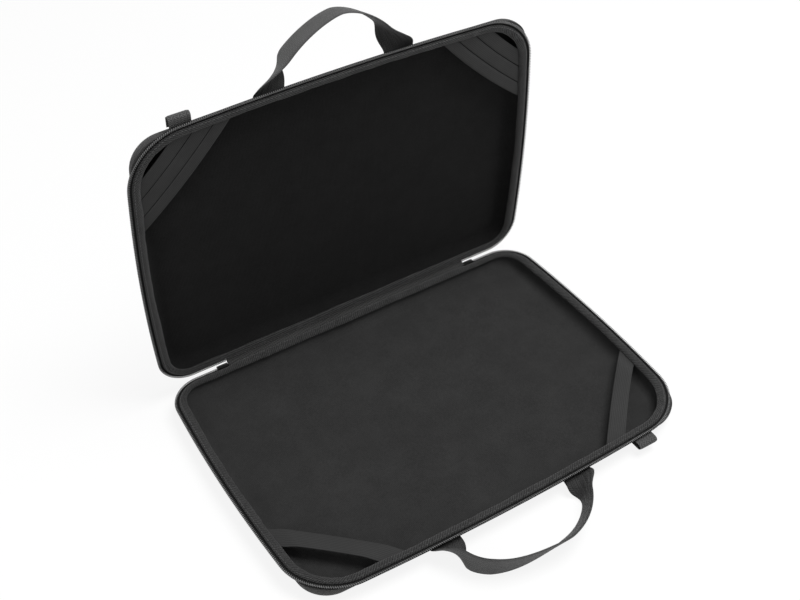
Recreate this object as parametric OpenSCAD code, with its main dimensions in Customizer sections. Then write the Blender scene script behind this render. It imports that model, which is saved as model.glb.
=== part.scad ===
// Laptop hard case: two moulded shells joined by a fabric hinge and closed by a zip that runs round them.
// Millimetres. +X along the long side, +Y to the hinge, +Z up. The origin is the centre of the underside.
// The case is drawn open, as it stands: the lid is modelled closed over the base and then swung up.

/* [Case] */
// Width over the zip, at the middle of the sides
case_width = 414; // [330:1:520]
// Depth from the hinge side to the front of the zip
case_depth = 295.5; // [240:0.5:380]
// Height of one half, from its outer face to the plane where the halves meet
half_height = 20; // [17:0.5:32]
// Angle that the lid is open by, as it stands
lid_open = 86; // [0:1:180]

/* [Outline] */
// How far the zip bulges out at the middle of the left and right sides
zip_side_bow = 6.4; // [0:0.1:12]
// How far the zip bulges out at the middle of the front
zip_front_bow = 7; // [0:0.1:12]
// How far the shell bulges out at the middle of the left and right sides
shell_side_bow = 3; // [0:0.1:8]
// How far the shell bulges out at the middle of the front
shell_front_bow = 4; // [0:0.1:8]
// Radius of the shell's front corners, seen from above
corner_r = 29; // [24:1:44]
// Radius of the zip's front corners, seen from above
zip_corner_r = 48; // [40:1:60]
// Radius of the shell's corners on the hinge side
back_corner_r = 28; // [24:1:34]
// Radius of the zip's corners on the hinge side
zip_back_corner_r = 30; // [26:1:34]
// How far the zip stands out past the shell, at the middle of a side
zip_flare = 6; // [4:0.1:8]
// Distance from the zip to the shell on the hinge side
hinge_inset = 2.5; // [2.2:0.1:4]

/* [Shell] */
// Thickness of the moulded shell
shell_wall = 3; // [2:0.1:4]
// Thickness of the lining
lining_wall = 0.8; // [0.5:0.1:1.5]
// Width of the rounded edge between the wall and the outer face
edge_run = 15.5; // [8:0.5:18]
// Squareness of that edge: 2 is an ellipse, more is squarer
edge_power = 2.1; // [2:0.1:3]

/* [Binding] */
// Distance from the middle of the zip to the binding, round the sides and front
binding_inset = 3.2; // [2.6:0.1:4]
// Width of the binding round the sides and front
binding_width = 7.6; // [7.4:0.1:9]
// Distance from the middle of the zip to the binding on the hinge side
back_binding_inset = 2.6; // [2.6:0.1:3]
// Width of the binding on the hinge side
back_binding_width = 5.6; // [5:0.1:7]
// Height of the binding over the rim
binding_height = 3; // [2.4:0.1:3.1]

/* [Zip] */
// Width of the zip's coil
coil_width = 2.5; // [2:0.1:2.6]
// Height of the zip's coil
coil_height = 2; // [1.6:0.1:2]
// Thickness of the zip's tape
tape_thick = 0.8; // [0.5:0.1:1]
// Gap between the two coils when the case is shut
coil_gap = 1; // [0.8:0.1:1.2]
// Length of each slider
slider_length = 11; // [8:0.5:14]
// Length of each pull
pull_length = 24; // [14:1:30]

/* [Hinge] */
// Length of the fabric hinge
hinge_length = 274; // [160:1:300]
// Distance from the zip's line to the fold of the hinge
fold_back = 2; // [2:0.1:3]
// Radius of the fold
fold_r = 1; // [0.6:0.1:1.2]

/* [Handles] */
// Distance between the middles of the two ends of the base's handle
base_handle_span = 140; // [90:1:170]
// Distance between the middles of the two ends of the lid's handle
lid_handle_span = 129; // [90:1:170]
// Distance of the handles to the left of the middle of the case
handle_offset = 3.5; // [0:0.5:10]
// Width of the handles' webbing
webbing_width = 30; // [20:1:32]
// Thickness of the handles' webbing
webbing_thick = 1.8; // [1:0.1:2.5]
// Reach of the base's handle, from its hinge line to the middle of the grip
base_handle_reach = 57.5; // [45:0.5:80]
// Reach of the lid's handle, from its hinge line to the middle of the grip
lid_handle_reach = 50.5; // [45:0.5:80]
// How far the upper edge of the base's handle leans outwards
base_handle_flare = 25; // [0:1:40]
// How far the grip of the base's handle stands above its ends
base_handle_rise = 3.2; // [2:0.1:10]
// How far the lid's handle leans back from the lid
lid_handle_lean = 20; // [0:1:40]
// Distance of the top of the base's handle to the right of the middle of its ends
base_handle_slip = 8.5; // [0:0.5:14]
// Distance of the top of the lid's handle to the right of the middle of its ends
lid_handle_slip = 12; // [0:0.5:14]
// Distance from a handle's hinge line over which its webbing turns on edge
turn_reach = 26; // [16:1:40]
// Distance below the meeting plane at which the handles and loops come out
seam_drop = 8.4; // [6:0.1:9]

/* [Loops] */
// Distance from the middle of the case to each loop
loop_place = 147; // [120:1:160]
// Width of a loop
loop_width = 20; // [12:1:26]
// How far a loop reaches from the shell
loop_reach = 12.5; // [10:0.5:18]
// Thickness of a loop's webbing
loop_thick = 1.1; // [0.8:0.1:1.6]
// Height of the opening in a loop
loop_gap = 4.8; // [4.6:0.1:6]

/* [Straps] */
// Width of the elastic straps over the front corners of the base
strap_width = 16; // [10:1:24]
// Distance from the corner, along both sides added up, to the inner edge of those straps
strap_reach = 92; // [80:1:120]
// Thickness of the elastic
elastic_thick = 1.1; // [0.6:0.1:1.4]
// Height of the bay that the straps leave free over the floor
held_thick = 14.4; // [8:0.1:18]
// Distance from the corner, along both sides added up, to the outermost band in the lid
band_start = 40; // [36:1:50]
// Width of the outer band in each lid corner, along both sides added up
outer_band = 18.5; // [14:0.5:22]
// Width of the middle band
middle_band = 18; // [14:0.5:22]
// Width of the inner band
inner_band = 15; // [12:0.5:20]
// Gap between those bands
band_gap = 1; // [0.6:0.1:2]

/* [Hidden] */
$fn = 48;

fabric_black = [0.10, 0.10, 0.11];
twill_grey = [0.22, 0.22, 0.23];
lining_black = [0.06, 0.06, 0.065];
webbing_grey = [0.30, 0.30, 0.31];
metal_black = [0.12, 0.12, 0.13];

// Steps that the curved shapes are divided into
CORNER_STEPS = 7;
SIDE_STEPS = 6;
FRONT_STEPS = 8;
EDGE_STEPS = 7;
ARCH_STEPS = 44;
STRAP_STEPS = 24;
// Distance over which a strap rises from under the binding
LIFT_RUN = 9;
// Share of the binding's width that lies on the tape
TAPE_SHARE = 0.52;
// Gap between pieces that move past each other, and between soft pieces that only touch
RUN = 0.2;
TOUCH = 0.3;

meet_z = half_height;
coil_z = meet_z - coil_gap / 2 - coil_height / 2;
// The tape lies flat on the rim, and the coil on the tape
tape_z = coil_z - coil_height / 2;
rim_z = tape_z - tape_thick;
seam_z = meet_z - seam_drop;
floor_z = shell_wall + lining_wall;
zip_back_y = case_depth / 2;
fold_y = zip_back_y + fold_back;
// The zip's outline: half its width and depth at the corners, and its middle
zip_hx = case_width / 2 - zip_side_bow;
zip_hy = (case_depth - zip_front_bow) / 2;
zip_mid_y = zip_back_y - zip_hy;
// The shell's outline
shell_hx = case_width / 2 - zip_flare - shell_side_bow;
shell_back_y = zip_back_y - hinge_inset;
shell_front_y = -case_depth / 2 + zip_flare + shell_front_bow;
shell_hy = (shell_back_y - shell_front_y) / 2;
shell_mid_y = (shell_back_y + shell_front_y) / 2;
// How far in from the shell's outline the straps are clear of the binding
binding_end = binding_inset + binding_width - zip_flare + 1;

// ---------- Outlines ----------
// An outline is a rounded rectangle whose left, right and front sides bulge. It runs from the right end of
// the hinge round the right side, the front and the left side, to the left end of the hinge.

function arc_points(cx, cy, r, from) =
    [for (i = [0 : CORNER_STEPS]) let (a = from - 90 * i / CORNER_STEPS) [cx + r * cos(a), cy + r * sin(a)]];

function between(a, b, steps) = [for (i = [1 : steps - 1]) a + (b - a) * i / steps];

// Front corners have radius r and those on the hinge side have radius back_r
function open_run(hx, hy, r, back_r) =
    let (cx = hx - r, cy = hy - r, bx = hx - back_r, by = hy - back_r, start_x = hinge_length / 2) concat(
        [[start_x, hy], [(start_x + bx) / 2, hy]],
        arc_points(bx, by, back_r, 90),
        between([hx, by], [hx, -cy], SIDE_STEPS),
        arc_points(cx, -cy, r, 0),
        between([cx, -hy], [-cx, -hy], FRONT_STEPS),
        arc_points(-cx, -cy, r, -90),
        between([-hx, -cy], [-hx, by], SIDE_STEPS),
        arc_points(-bx, by, back_r, 180),
        [[-(start_x + bx) / 2, hy], [-start_x, hy]]);

function bulge(p, hx, hy, side, front) = [
    p.x * (1 + side / hx * (1 - pow(p.y / hy, 2))),
    p.y * (p.y < 0 ? 1 + front / hy * (1 - pow(p.x / hx, 2)) : 1)];

// The shell's outline, drawn in by an inset
function shell_run(inset) = let (hx = shell_hx - inset, hy = shell_hy - inset)
    [for (p = open_run(hx, hy, max(corner_r - inset, 6), max(back_corner_r - inset, 6)))
        bulge(p, hx, hy, shell_side_bow, shell_front_bow) + [0, shell_mid_y]];

// The zip's outline, drawn in by an inset
function zip_run(inset) = let (hx = zip_hx - inset, hy = zip_hy - inset)
    [for (p = open_run(hx, hy, zip_corner_r - inset, zip_back_corner_r - inset))
        bulge(p, hx, hy, zip_side_bow, zip_front_bow) + [0, zip_mid_y]];

// How much each point of an outline belongs to the hinge side: 0 along the sides and 1 along the hinge
back_share = [for (p = open_run(zip_hx, zip_hy, zip_corner_r, zip_back_corner_r))
    smooth((p.y - zip_hy + zip_back_corner_r) / zip_back_corner_r)];
function hinge_mix(run, back_run) =
    [for (i = [0 : len(run) - 1]) run[i] + (back_run[i] - run[i]) * back_share[i]];

function at_height(run, z) = [for (p = run) [p.x, p.y, z]];
function mix_runs(a, b, t) = [for (i = [0 : len(a) - 1]) a[i] + (b[i] - a[i]) * t];

// Where the shell's side and front lie at a given place, drawn in by an inset
function side_x(y, inset) = let (hy = shell_hy - inset)
    (shell_hx - inset) + shell_side_bow * (1 - pow((y - shell_mid_y) / hy, 2));
function front_y(x, inset) = let (hx = shell_hx - inset)
    shell_mid_y - (shell_hy - inset) - shell_front_bow * (1 - pow(x / hx, 2));

// ---------- Skins ----------
// Joins rings that have the same number of points. A closed skin's last ring is joined to its first.

// The first strips may be cut along their other diagonal, to match a piece that lies against them.

function ring_faces(rings, count, wrap_rings, wrap_points, crossed = 0) =
    [for (j = [0 : rings - (wrap_rings ? 1 : 2)]) for (i = [0 : count - (wrap_points ? 1 : 2)])
        let (a = j * count + i, b = j * count + (i + 1) % count,
            c = (j + 1) % rings * count + (i + 1) % count, d = (j + 1) % rings * count + i)
        each j < crossed ? [[a, b, d], [b, c, d]] : [[a, b, c], [a, c, d]]];

// A tube of rings that closes on itself both ways, such as a ring of binding
module ring_solid(rings) {
    polyhedron([for (r = rings) each r], ring_faces(len(rings), len(rings[0]), true, true), convexity = 6);
}

// A tube of rings with flat ends, such as a strap. Each end is a fan of triangles about its middle.
module capped_solid(rings, crossed = 0) {
    count = len(rings[0]);
    total = len(rings) * count;
    polyhedron(
        concat([for (r = rings) each r], [middle(rings[0]), middle(rings[len(rings) - 1])]),
        concat(ring_faces(len(rings), count, false, true, crossed),
            [for (i = [0 : count - 1]) [total, (i + 1) % count, i]],
            [for (i = [0 : count - 1]) [total + 1, total - count + i, total - count + (i + 1) % count]]),
        convexity = 6);
}

function middle(ring) = [for (p = ring) 1] * ring / len(ring);

// Turns a set of lines that run along the outline into sections across it
function across(lines) = [for (i = [0 : len(lines[0]) - 1]) [for (l = lines) l[i]]];

// ---------- Shells ----------
// Distance in from the outline, and height, of the shell's surface at a depth into its wall
function edge_inset(depth, a) = depth + (edge_run - depth) * (1 - pow(cos(a), 2 / edge_power));
function edge_height(depth, a) = depth + (rim_z - depth) * (1 - pow(sin(a), 2 / edge_power));

function tray_rings(depth) = [for (i = [0 : EDGE_STEPS]) let (a = 90 * i / EDGE_STEPS)
    at_height(shell_run(edge_inset(depth, a)), edge_height(depth, a))];

// A tray between two depths of the wall: from the inner floor up to the rim, and down to the outer floor
module tray(outer, inner) {
    inside = tray_rings(inner);
    capped_solid(concat([for (i = [EDGE_STEPS : -1 : 0]) inside[i]], tray_rings(outer)), EDGE_STEPS);
}

module half_shell() {
    color(fabric_black) tray(0, shell_wall);
}

module half_lining() {
    color(lining_black) tray(shell_wall, floor_z);
}

// A line along the binding, by its share of the width. It is narrower and nearer to the zip by the hinge.
function binding_line(share) = hinge_mix(
    zip_run(binding_inset + binding_width * share),
    zip_run(back_binding_inset + back_binding_width * share));

// A soft twill band that covers the tape's inner edge and the rim, crowned across its width
module half_binding() {
    on_tape = tape_thick / binding_height;
    section = [[0, on_tape], [0, 0.55], [0.12, 0.88], [0.4, 1], [0.72, 0.88], [0.93, 0.5], [1, 0.12],
        [0.96, 0], [TAPE_SHARE + 0.06, 0], [TAPE_SHARE, on_tape]];
    color(twill_grey)
        ring_solid([for (s = section) at_height(binding_line(s.x), rim_z + s.y * binding_height)]);
}

// ---------- Zip ----------
// The tape lies flat on the rim and reaches out to the coil
module half_zip_tape() {
    edge_out = zip_run(-tape_thick / 2);
    edge_in = binding_line(TAPE_SHARE - 0.02);
    color(fabric_black)
        capped_solid(across([
            at_height(edge_out, rim_z),
            at_height(edge_out, tape_z),
            at_height(edge_in, tape_z),
            at_height(edge_in, rim_z)]));
}

module half_zip_coil() {
    color(metal_black)
        capped_solid(across([for (i = [5 : -1 : 0]) let (a = 60 * i + 90)
            at_height(zip_run(coil_width / 2 * cos(a)), coil_z + coil_height / 2 * sin(a))]));
}

// ---------- Fabric hinge ----------
// One strip of fabric, drawn as two leaves. The base's leaf holds the rounded fold that the lid turns about.
leaf_thick = 1;
leaf_foot_y = shell_back_y - TOUCH - leaf_thick / 2;

module leaf_outline(gap_r) {
    fall = atan2(meet_z - rim_z, fold_y - leaf_foot_y);
    difference() {
        polygon([
            [leaf_foot_y - leaf_thick / 2, rim_z],
            [leaf_foot_y + leaf_thick / 2, rim_z],
            [fold_y + leaf_thick / 2 * sin(fall), meet_z - leaf_thick / 2 * cos(fall)],
            [fold_y - leaf_thick / 2 * sin(fall), meet_z + leaf_thick / 2 * cos(fall)]]);
        translate([fold_y, meet_z]) circle(gap_r);
    }
}

module along_hinge(length) {
    rotate([90, 0, 90]) translate([0, 0, -length / 2]) linear_extrude(length) children();
}

module hinge_spine_base() {
    color(fabric_black) along_hinge(hinge_length - 2 * TOUCH) {
        leaf_outline(fold_r - 0.05);
        translate([fold_y, meet_z]) circle(fold_r);
    }
}

module hinge_spine_lid() {
    color(fabric_black) open_lid() in_lid()
        along_hinge(hinge_length - 2 * TOUCH) leaf_outline(fold_r + RUN);
}

// ---------- Handles ----------
// A handle is one strip of webbing. Its ends lie flat along the seam, and it turns on edge for the grip.
// The strip's ends are rounded, so that they turn beside the shell's front.
root_out = -front_y(base_handle_span / 2, 0) + TOUCH + webbing_thick / 2;
// Roundness of the left and right shoulders of each arch: 2 is an ellipse, and more is squarer
BASE_SHOULDERS = [2.8, 1.95];
LID_SHOULDERS = [1.5, 1.7];

function smooth(t) = let (u = min(max(t, 0), 1)) u * u * (3 - 2 * u);
function unit(v) = v / norm(v);

// The middle of the webbing: x, the distance out from the hinge line, and the height above the ends
function arch_point(a, span, reach, slip, shoulders, rise) =
    let (side = a > 90 ? -1 : 1, power = shoulders[a > 90 ? 0 : 1], out = reach * pow(sin(a), 2 / power))
    [slip + (side * span / 2 - slip) * pow(abs(cos(a)), 2 / power), out, rise * smooth(out / turn_reach)];

// The direction across the webbing: along the seam at the ends, upright at the grip
function arch_across(out, side, flare) = let (turn = 90 * smooth(out / turn_reach))
    [side * cos(turn), sin(flare) * sin(turn), cos(flare) * sin(turn)];

function section(mid, w, n) = [mid + w + n, mid - w + n, mid - w - n, mid + w - n];

// The rounded end of the strip at one side: -1 is the left and 1 is the right
function end_section(side, span, a) = section(
    [side * span / 2, -webbing_thick / 2 * sin(a), 0],
    [side * webbing_width / 2, 0, 0],
    [0, 0, webbing_thick / 2 * cos(a)]);

// Sections along the strip, which is drawn with its hinge on the X axis, reaching out along +Y
function strip_sections(span, reach, slip, shoulders, flare, rise) =
    let (mids = [for (i = [0 : ARCH_STEPS])
        arch_point(180 - 180 * i / ARCH_STEPS, span, reach, slip, shoulders, rise)])
    concat(
        [for (a = [75, 40, 0]) end_section(-1, span, a)],
        [for (i = [1 : ARCH_STEPS - 1])
            let (way = unit(mids[i + 1] - mids[i - 1]), side = i < ARCH_STEPS / 2 ? -1 : 1,
                w = arch_across(mids[i].y, side, flare) * webbing_width / 2)
            section(mids[i], w, unit(cross(way, w)) * webbing_thick / 2)],
        [for (a = [0, 40, 75]) end_section(1, span, a)]);

module base_handle() {
    color(webbing_grey)
        translate([-handle_offset, -root_out, seam_z]) mirror([0, 1, 0])
            capped_solid(strip_sections(base_handle_span, base_handle_reach, base_handle_slip, BASE_SHOULDERS,
                base_handle_flare, base_handle_rise));
}

module lid_handle() {
    color(webbing_grey)
        open_lid() in_lid()
            translate([-handle_offset, -root_out, seam_z]) rotate([lid_handle_lean, 0, 0]) mirror([0, 1, 0])
                capped_solid(strip_sections(lid_handle_span, lid_handle_reach, lid_handle_slip,
                    LID_SHOULDERS, 0, 0));
}

// ---------- Loops ----------
// Webbing folded back on itself, with its opening along X
loop_r = loop_gap / 2 + loop_thick;

module loop_tab() {
    color(webbing_grey)
        rotate([90, 0, -90]) translate([0, 0, -loop_width / 2]) linear_extrude(loop_width)
            difference() {
                union() {
                    translate([0, -loop_r]) square([loop_reach - loop_r, 2 * loop_r]);
                    translate([loop_reach - loop_r, 0]) circle(loop_r);
                }
                translate([loop_thick, -loop_gap / 2]) square([loop_reach - loop_r - loop_thick, loop_gap]);
                translate([loop_reach - loop_r, 0]) circle(loop_gap / 2);
            }
}

// Places a loop on the front of a half
module loop_at(x) {
    translate([x, front_y(x, 0) - TOUCH, seam_z]) loop_tab();
}

module base_loop() {
    loop_at(loop_place - handle_offset);
}

module lid_loop() {
    open_lid() in_lid() loop_at(-loop_place - handle_offset);
}

// ---------- Elastic ----------
elastic_z = rim_z - TOUCH - elastic_thick;
// How far in from the shell's outline the straps end, under the binding
tuck = 4.3;
held_z = floor_z + held_thick;

// Height of a strap's underside at a distance in from the side of the case: low where it is tucked under the
// binding, and lifted by what it holds further in
function strap_height(inset) =
    elastic_z + (held_z - elastic_z) * smooth((inset - binding_end - TOUCH) / LIFT_RUN);

// Where a strap ends on the left side and at the front, at a distance from the corner
function left_end(reach) = let (y = shell_front_y + reach) [-side_x(y, tuck), y];
function front_end(reach) = let (x = reach - shell_hx) [x, front_y(x, tuck)];

// A place on a strap across the front left corner. u runs along it from 0 to 1.
function across_corner(reach, u) = left_end(reach) * (1 - u) + front_end(reach) * u;

function strap_point(p, lift) =
    [p.x, p.y, lift + strap_height(min(side_x(p.y, 0) - abs(p.x), p.y - front_y(p.x, 0)))];

module corner_strap() {
    loop_reach = strap_reach - strap_width * sqrt(2);
    widths = [for (k = [0 : 4]) loop_reach + (strap_reach - loop_reach) * k / 4];
    color(webbing_grey)
        capped_solid([for (i = [0 : STRAP_STEPS]) concat(
            [for (k = [4 : -1 : 0]) strap_point(across_corner(widths[k], i / STRAP_STEPS), 0)],
            [for (k = [0 : 4]) strap_point(across_corner(widths[k], i / STRAP_STEPS), elastic_thick)])]);
}

module base_strap_left() {
    corner_strap();
}

module base_strap_right() {
    mirror([1, 0, 0]) corner_strap();
}

// One of the three flat bands across the front left corner of the lid, counted from the corner inwards
module lid_band(i) {
    from = band_start + (i > 0 ? outer_band + band_gap : 0) + (i > 1 ? middle_band + band_gap : 0);
    to = from + [outer_band, middle_band, inner_band][i];
    color(webbing_grey)
        open_lid() in_lid() translate([0, 0, elastic_z]) linear_extrude(elastic_thick)
            polygon([left_end(from), left_end(to), front_end(to), front_end(from)]);
}

module lid_band_left_outer() { lid_band(0); }
module lid_band_left_middle() { lid_band(1); }
module lid_band_left_inner() { lid_band(2); }
module lid_band_right_outer() { mirror([1, 0, 0]) lid_band(0); }
module lid_band_right_middle() { mirror([1, 0, 0]) lid_band(1); }
module lid_band_right_inner() { mirror([1, 0, 0]) lid_band(2); }

// ---------- Sliders and pulls ----------
// A slider rides on the base's coil, next to the hinge. It hangs over the coil from a bridge, with a short
// inner plate above the tape and a long outer plate that carries the pull.
plate_thick = 0.8;
bridge_thick = 0.4;
inner_plate = 2.1;
outer_plate = 5.2;
ear_r = 1.2;
ear_thick = 0.8;
ear_gap = 1.4;
pin_r = 0.55;
slider_x = hinge_length / 2 + RUN;
pin_x = slider_x + slider_length / 2;
channel = coil_width + 2 * RUN;
channel_y = zip_back_y - channel / 2;
slider_top = coil_z + coil_height / 2 + RUN * 0.75 + bridge_thick;
outer_face_y = zip_back_y + channel / 2 + plate_thick;
pin_y = outer_face_y + ear_r + RUN;
pin_z = coil_z - 4;

module slider_body() {
    translate([slider_x, channel_y - plate_thick, slider_top - inner_plate])
        cube([slider_length, plate_thick, inner_plate]);
    translate([slider_x, channel_y - plate_thick, slider_top - bridge_thick])
        cube([slider_length, channel + 2 * plate_thick, bridge_thick]);
    translate([slider_x, channel_y + channel, slider_top - outer_plate])
        cube([slider_length, plate_thick, outer_plate]);
}

// Two ears on the outer plate, with the upright pin that the pull turns on
module slider_ears() {
    for (z = [pin_z - ear_gap / 2 - ear_thick, pin_z + ear_gap / 2]) {
        translate([pin_x - ear_r, outer_face_y, z]) cube([2 * ear_r, pin_y - outer_face_y, ear_thick]);
        translate([pin_x, pin_y, z]) cylinder(r = ear_r, h = ear_thick);
    }
    translate([pin_x, pin_y, pin_z - ear_gap / 2 - ear_thick])
        cylinder(r = pin_r, h = ear_gap + 2 * ear_thick);
}

module slider_right() {
    color(metal_black) {
        slider_body();
        slider_ears();
    }
}

module slider_left() {
    mirror([1, 0, 0]) slider_right();
}

// The pull lies flat against the case, pointing at the middle of the hinge
module pull_right() {
    pull_thick = 1.1;
    pull_width = 4;
    neck = 6.2;
    eye_height = ear_gap - RUN;
    color(metal_black) difference() {
        union() {
            translate([pin_x, pin_y, pin_z - eye_height / 2]) cylinder(r = ear_r, h = eye_height);
            translate([pin_x - neck, pin_y - pull_thick / 2, pin_z - eye_height / 2])
                cube([neck, pull_thick, eye_height]);
            translate([pin_x - pull_length, pin_y - pull_thick / 2, pin_z - pull_width / 2])
                cube([pull_length - neck, pull_thick, pull_width]);
        }
        translate([pin_x, pin_y, pin_z - eye_height]) cylinder(r = pin_r + RUN / 2, h = 2 * eye_height);
    }
}

module pull_left() {
    mirror([1, 0, 0]) pull_right();
}

// ---------- Placing the lid ----------
// Turns a half over on to the base, as it lies when the case is shut
module in_lid() {
    translate([0, 0, 2 * meet_z]) mirror([0, 0, 1]) children();
}

// Swings the shut lid open about the fold of the hinge
module open_lid() {
    translate([0, fold_y, meet_z]) rotate([-lid_open, 0, 0]) translate([0, -fold_y, -meet_z]) children();
}

module base_shell() { half_shell(); }
module base_lining() { half_lining(); }
module base_binding() { half_binding(); }
module base_zip_tape() { half_zip_tape(); }
module base_zip_coil() { half_zip_coil(); }
module lid_shell() { open_lid() in_lid() half_shell(); }
module lid_lining() { open_lid() in_lid() half_lining(); }
module lid_binding() { open_lid() in_lid() half_binding(); }
module lid_zip_tape() { open_lid() in_lid() half_zip_tape(); }
module lid_zip_coil() { open_lid() in_lid() half_zip_coil(); }

base_shell();
base_lining();
base_binding();
base_zip_tape();
base_zip_coil();
base_strap_left();
base_strap_right();
base_loop();
base_handle();
hinge_spine_base();
hinge_spine_lid();
lid_shell();
lid_lining();
lid_binding();
lid_zip_tape();
lid_zip_coil();
lid_band_left_outer();
lid_band_left_middle();
lid_band_left_inner();
lid_band_right_outer();
lid_band_right_middle();
lid_band_right_inner();
lid_loop();
lid_handle();
slider_left();
slider_right();
pull_left();
pull_right();
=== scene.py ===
"""Looks of the laptop hard case: a soft zip-round clamshell, drawn open.

Sizes are millimetres until a mesh is made.
"""

import math

import bmesh
import bpy
import numpy as np
from mathutils import Matrix, Vector, noise


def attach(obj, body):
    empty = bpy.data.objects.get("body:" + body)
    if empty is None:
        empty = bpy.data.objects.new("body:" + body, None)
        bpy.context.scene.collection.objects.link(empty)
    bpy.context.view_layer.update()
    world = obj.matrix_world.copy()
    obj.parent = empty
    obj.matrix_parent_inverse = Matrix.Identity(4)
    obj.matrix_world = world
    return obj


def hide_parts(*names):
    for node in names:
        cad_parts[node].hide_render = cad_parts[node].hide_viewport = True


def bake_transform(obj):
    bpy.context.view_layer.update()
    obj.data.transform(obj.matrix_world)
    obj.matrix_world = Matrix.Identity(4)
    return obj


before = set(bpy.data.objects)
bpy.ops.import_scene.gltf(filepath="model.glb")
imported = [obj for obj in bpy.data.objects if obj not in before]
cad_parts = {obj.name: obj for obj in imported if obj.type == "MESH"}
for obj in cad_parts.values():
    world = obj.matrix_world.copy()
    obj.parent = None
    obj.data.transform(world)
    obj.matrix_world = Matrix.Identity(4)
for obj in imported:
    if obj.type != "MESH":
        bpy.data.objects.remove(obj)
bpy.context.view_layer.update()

MM = 0.001

# ---------------------------------------------------------------- sizes of the case
CASE_WIDTH, CASE_DEPTH, HALF_HEIGHT = 414.0, 295.5, 20.0
LID_OPEN = math.radians(86)
ZIP_SIDE_BOW, ZIP_FRONT_BOW = 6.4, 7.0
SHELL_SIDE_BOW, SHELL_FRONT_BOW = 3.0, 4.0
CORNER_R, ZIP_CORNER_R, BACK_CORNER_R, ZIP_BACK_CORNER_R = 29.0, 48.0, 28.0, 30.0
ZIP_FLARE, HINGE_INSET = 6.0, 2.5
SHELL_WALL, LINING_WALL = 3.0, 0.8
EDGE_RUN, EDGE_POWER = 15.5, 2.1
BINDING_INSET, BINDING_WIDTH, BINDING_HEIGHT = 3.2, 7.6, 3.0
BACK_BINDING_INSET, BACK_BINDING_WIDTH = 2.6, 5.6
COIL_WIDTH, COIL_HEIGHT, COIL_GAP, TAPE_THICK = 2.5, 2.0, 1.0, 0.8
HINGE_LENGTH, FOLD_BACK = 274.0, 2.0
SEAM_DROP, HANDLE_OFFSET = 8.4, 3.5
WEBBING_WIDTH, WEBBING_THICK = 30.0, 1.8
ELASTIC_THICK, STRAP_WIDTH, STRAP_REACH, HELD_THICK = 1.1, 16.0, 92.0, 14.4
TOUCH = 0.3

MEET_Z = HALF_HEIGHT
COIL_Z = MEET_Z - COIL_GAP / 2 - COIL_HEIGHT / 2
TAPE_Z = COIL_Z - COIL_HEIGHT / 2
RIM_Z = TAPE_Z - TAPE_THICK
SEAM_Z = MEET_Z - SEAM_DROP
FLOOR_Z = SHELL_WALL + LINING_WALL
ZIP_BACK_Y = CASE_DEPTH / 2
FOLD_Y = ZIP_BACK_Y + FOLD_BACK
ZIP_HX = CASE_WIDTH / 2 - ZIP_SIDE_BOW
ZIP_HY = (CASE_DEPTH - ZIP_FRONT_BOW) / 2
ZIP_MID_Y = ZIP_BACK_Y - ZIP_HY
SHELL_HX = CASE_WIDTH / 2 - ZIP_FLARE - SHELL_SIDE_BOW
SHELL_BACK_Y = ZIP_BACK_Y - HINGE_INSET
SHELL_FRONT_Y = -CASE_DEPTH / 2 + ZIP_FLARE + SHELL_FRONT_BOW
SHELL_HY = (SHELL_BACK_Y - SHELL_FRONT_Y) / 2
SHELL_MID_Y = (SHELL_BACK_Y + SHELL_FRONT_Y) / 2

CORNER_STEPS, SIDE_STEPS, FRONT_STEPS, BACK_STEPS, HINGE_STEPS = 22, 60, 90, 10, 60


# ---------------------------------------------------------------- outlines
def arc(cx, cy, r, start):
    """A quarter circle, turning clockwise from an angle in degrees."""
    a = np.radians(start - 90 * np.arange(CORNER_STEPS + 1) / CORNER_STEPS)
    return np.stack([cx + r * np.cos(a), cy + r * np.sin(a)], 1)


def between(a, b, steps):
    """The points inside a straight stretch, without its ends."""
    t = np.arange(1, steps)[:, None] / steps
    return np.array(a) + (np.array(b) - np.array(a)) * t


def outline(hx, hy, r, back_r, side_bow, front_bow, mid_y, closed):
    """A rounded rectangle with bulging sides, from the hinge's right end round to its left end.
    A closed one goes on along the hinge, back to where it began."""
    cx, cy, bx, by, start = hx - r, hy - r, hx - back_r, hy - back_r, HINGE_LENGTH / 2
    parts = [
        [[start, hy]], between([start, hy], [bx, hy], BACK_STEPS),
        arc(bx, by, back_r, 90), between([hx, by], [hx, -cy], SIDE_STEPS),
        arc(cx, -cy, r, 0), between([cx, -hy], [-cx, -hy], FRONT_STEPS),
        arc(-cx, -cy, r, -90), between([-hx, -cy], [-hx, by], SIDE_STEPS),
        arc(-bx, by, back_r, 180), between([-bx, hy], [-start, hy], BACK_STEPS), [[-start, hy]],
    ]
    if closed:
        parts.append(between([-start, hy], [start, hy], HINGE_STEPS))
    p = np.concatenate([np.asarray(q, float) for q in parts])
    x = p[:, 0] * (1 + side_bow / hx * (1 - (p[:, 1] / hy) ** 2))
    y = p[:, 1] * np.where(p[:, 1] < 0, 1 + front_bow / hy * (1 - (p[:, 0] / hx) ** 2), 1)
    return np.stack([x, y + mid_y], 1)


def shell_run(inset):
    hx, hy = SHELL_HX - inset, SHELL_HY - inset
    corner, back = max(CORNER_R - inset, 6), max(BACK_CORNER_R - inset, 6)
    return outline(hx, hy, corner, back, SHELL_SIDE_BOW, SHELL_FRONT_BOW, SHELL_MID_Y, True)


def zip_run(inset, closed=False):
    hx, hy = ZIP_HX - inset, ZIP_HY - inset
    corner, back = ZIP_CORNER_R - inset, ZIP_BACK_CORNER_R - inset
    return outline(hx, hy, corner, back, ZIP_SIDE_BOW, ZIP_FRONT_BOW, ZIP_MID_Y, closed)


def side_x(y, inset=0.0):
    return SHELL_HX - inset + SHELL_SIDE_BOW * (1 - ((y - SHELL_MID_Y) / (SHELL_HY - inset)) ** 2)


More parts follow.
